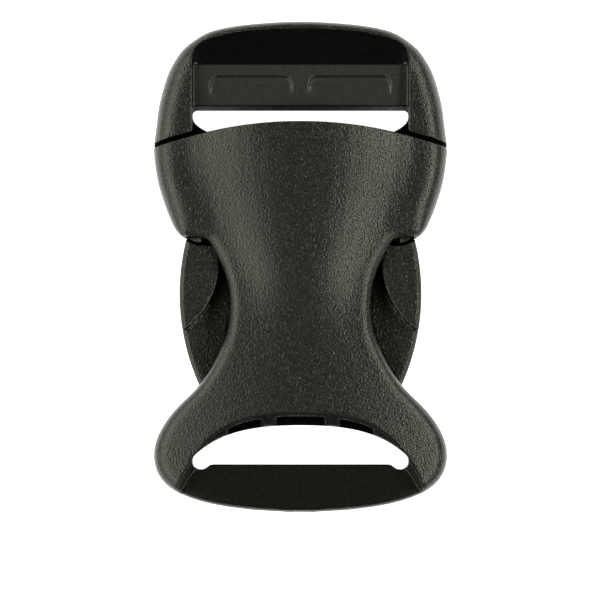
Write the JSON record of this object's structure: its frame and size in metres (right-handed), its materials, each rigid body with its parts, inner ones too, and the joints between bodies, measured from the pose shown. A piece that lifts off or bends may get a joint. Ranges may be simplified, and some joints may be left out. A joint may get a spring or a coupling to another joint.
{
  "type": "side release buckle",
  "caption": "Side release buckle for 25 mm webbing: plug with a ladder frame and two sprung finger pads, fastened in its socket.",
  "frame": {"origin": "centre of the bounding box's base, on the surface that the back face lies on", "axes": "+Y along the length, from the socket to the plug; +Z out of the front face; +X across the webbing, to the right seen from the front"},
  "size_m": [0.0348, 0.0582, 0.012],
  "materials": {
    "acetal": "fine moulded grain, black acetal"
  },
  "bodies": {
    "root": {"plug": "acetal", "socket": "acetal"}
  },
  "joints": []
}
